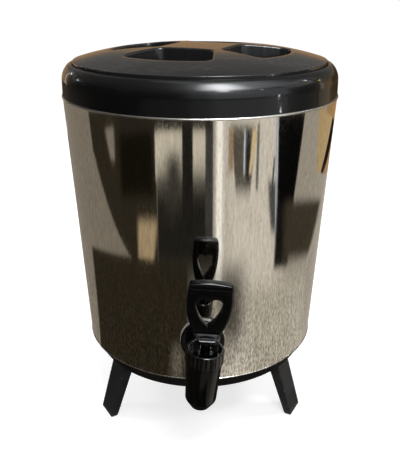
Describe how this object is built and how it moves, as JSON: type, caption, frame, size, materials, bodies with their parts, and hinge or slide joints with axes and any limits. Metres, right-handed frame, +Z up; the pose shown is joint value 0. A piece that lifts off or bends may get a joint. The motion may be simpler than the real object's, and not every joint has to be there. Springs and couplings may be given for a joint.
{
  "type": "insulated beverage dispenser",
  "caption": "Round double-walled drink dispenser in brushed steel and black plastic, on splayed legs, with a lift-off plug lid and a lever tap.",
  "frame": {"origin": "on the floor, at the middle of the circle of the three feet, below the vessel's axis", "axes": "+Z up along the vessel's axis, the tap points to -Y, +X to the right as the user sees it"},
  "size_m": [0.2728, 0.3237, 0.3897],
  "materials": {
    "shell_steel": "satin",
    "liner_steel": "polished",
    "collar_plastic": "gloss",
    "lid_plastic": "satin",
    "base_plastic": "satin",
    "leg_plastic": "matte",
    "tap_plastic": "gloss",
    "silicone": "matte",
    "foam": "matte",
    "screw_steel": "satin"
  },
  "bodies": {
    "vessel": {"outer_shell": "shell_steel", "inner_liner": "liner_steel", "foam_insulation": "foam", "top_collar": "collar_plastic", "base_cover": "base_plastic", "leg_left": "leg_plastic", "leg_right": "leg_plastic", "leg_rear": "leg_plastic", "leg_screws": "screw_steel", "tap_sleeve": "base_plastic", "tap_outer_washer": "silicone", "tap_inner_washer": "silicone", "tap_nut": "tap_plastic", "tap_body": "tap_plastic", "tap_bonnet": "tap_plastic"},
    "lid": {"lid_cover": "lid_plastic", "lid_pan": "lid_plastic", "lid_foam": "foam", "lid_gasket": "silicone"},
    "valve": {"valve_stem": "tap_plastic", "seat_cup": "silicone"},
    "lever": {"lever": "tap_plastic", "lever_pin": "screw_steel"}
  },
  "joints": [
    {"name": "lid_lift", "type": "slide", "parent": "vessel", "child": "lid", "axis": [0, 0, 1], "range_m": [0, 0.15]},
    {"name": "stem_lift", "type": "slide", "parent": "vessel", "child": "valve", "axis": [0.0802, 0, 0.9968], "range_m": [0, 0.0028]},
    {"name": "lever_tilt", "type": "hinge", "parent": "valve", "child": "lever", "pos_m": [0.0015, -0.17027, 0.15359], "axis": [0.9968, 0, -0.0802], "range_deg": [0, 35], "stiffness_Nm_per_rad": 0.15, "springref_deg": -11.46}
  ],
  "couplings": [
    {"joint": "stem_lift", "follows": "lever_tilt", "m_per_rad": 0.0045}
  ]
}
